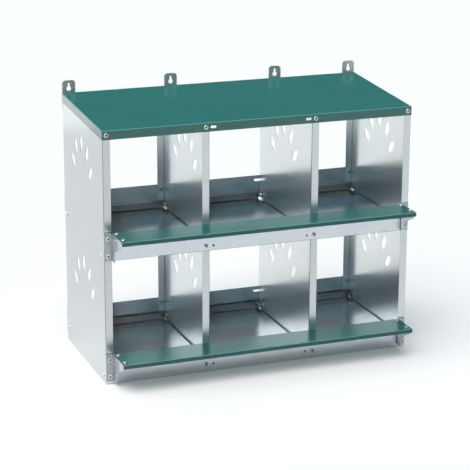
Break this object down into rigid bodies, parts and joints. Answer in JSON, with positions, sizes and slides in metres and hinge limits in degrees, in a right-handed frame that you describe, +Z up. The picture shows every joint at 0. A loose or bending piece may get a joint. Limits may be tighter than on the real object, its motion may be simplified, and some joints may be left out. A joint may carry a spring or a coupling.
{
  "type": "chicken nesting box",
  "caption": "Sheet-steel poultry nest box with two rows of open nests, vented walls, painted perches on brackets, a sloping painted roof and keyhole wall tabs.",
  "frame": {"origin": "on the ground, in the middle of the overall width and depth", "axes": "+Z up, +X to the right seen from the perches, +Y from the perches to the open back"},
  "size_m": [0.7648, 0.4128, 0.65],
  "materials": {
    "galvanised_steel": "smooth hot-dip galvanised sheet, soft mirror-like sheen",
    "green_paint": "glossy blue-green baked paint on sheet steel",
    "zinc_fasteners": "bright zinc-plated steel"
  },
  "bodies": {
    "root": {"left_side_panel": "galvanised_steel", "right_side_panel": "galvanised_steel", "left_divider": "galvanised_steel", "right_divider": "galvanised_steel", "rear_top_rail": "galvanised_steel", "lower_front_rail": "galvanised_steel", "lower_rear_rail": "galvanised_steel", "lower_left_floor": "galvanised_steel", "lower_middle_floor": "galvanised_steel", "lower_right_floor": "galvanised_steel", "lower_left_perch_bracket": "galvanised_steel", "lower_right_perch_bracket": "galvanised_steel", "upper_front_rail": "galvanised_steel", "upper_rear_rail": "galvanised_steel", "upper_left_floor": "galvanised_steel", "upper_middle_floor": "galvanised_steel", "upper_right_floor": "galvanised_steel", "upper_left_perch_bracket": "galvanised_steel", "upper_right_perch_bracket": "galvanised_steel", "roof_cap": "green_paint", "lower_perch": "green_paint", "upper_perch": "green_paint", "roof_screws": "zinc_fasteners", "roof_nuts": "zinc_fasteners", "front_rail_screws": "zinc_fasteners", "front_rail_nuts": "zinc_fasteners", "bracket_screws": "zinc_fasteners", "bracket_nuts": "zinc_fasteners", "perch_screws": "zinc_fasteners", "perch_nuts": "zinc_fasteners", "rear_rail_screws": "zinc_fasteners", "rear_rail_nuts": "zinc_fasteners", "top_rail_screws": "zinc_fasteners", "top_rail_nuts": "zinc_fasteners", "floor_screws": "zinc_fasteners", "floor_nuts": "zinc_fasteners", "ear_screws": "zinc_fasteners", "ear_nuts": "zinc_fasteners"}
  },
  "joints": []
}
